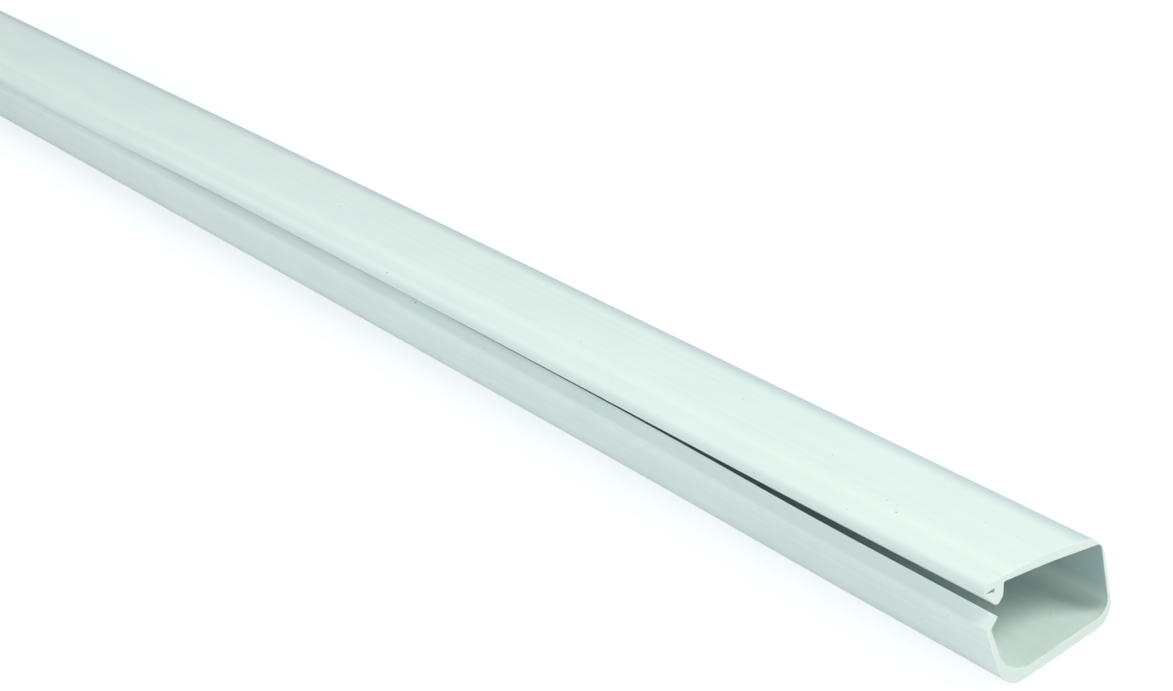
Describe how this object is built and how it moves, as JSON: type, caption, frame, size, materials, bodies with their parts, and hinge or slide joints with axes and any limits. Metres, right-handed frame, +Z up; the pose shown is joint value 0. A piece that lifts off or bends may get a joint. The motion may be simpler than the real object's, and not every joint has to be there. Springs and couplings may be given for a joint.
{
  "type": "cord cover raceway",
  "caption": "Straight cord cover raceway: an extruded channel with a hinged snap cover, its latch edge sprung open along the length.",
  "frame": {"origin": "on the floor plane under the middle of the strip, at the centre of its bounding box", "axes": "+X along the length towards the end where the cover stands widest open, the latch edge on the -Y side, the hinge wall on the +Y side, +Z up out of the flat base"},
  "size_m": [0.4, 0.0228, 0.0183],
  "materials": {
    "raceway": "satin white rigid PVC as extruded, cut ends slightly rougher"
  },
  "bodies": {
    "root": {"raceway": "raceway"}
  },
  "joints": []
}
